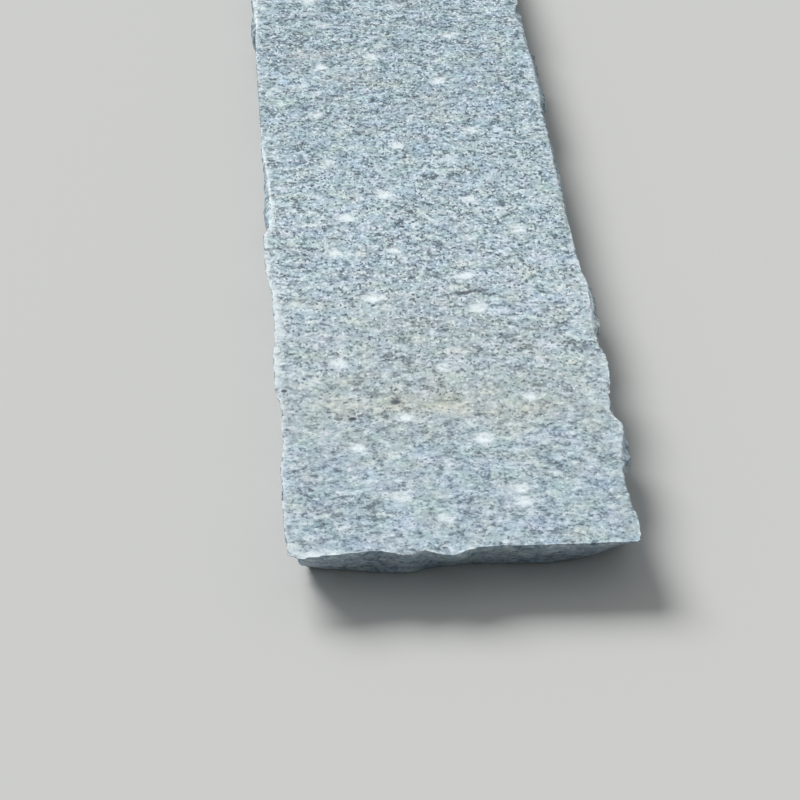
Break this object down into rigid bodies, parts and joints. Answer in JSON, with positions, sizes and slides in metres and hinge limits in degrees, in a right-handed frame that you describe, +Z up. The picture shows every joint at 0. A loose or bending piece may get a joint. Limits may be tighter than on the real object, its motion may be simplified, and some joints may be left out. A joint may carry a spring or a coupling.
{
  "type": "granite kerb stone",
  "caption": "Long thin hand-split granite edging strip with a flat top, rough split sides and an undercut end, for kerbs, borders and steps.",
  "frame": {"origin": "centre of the stone's box in plan, on the plane of its bed face", "axes": "+Y along the stone's length, away from its undercut near end; +X across its width; +Z up, out of its top face"},
  "size_m": [0.1544, 1, 0.025],
  "materials": {
    "granite": "rough split"
  },
  "bodies": {
    "root": {"kerb_stone": "granite"}
  },
  "joints": []
}
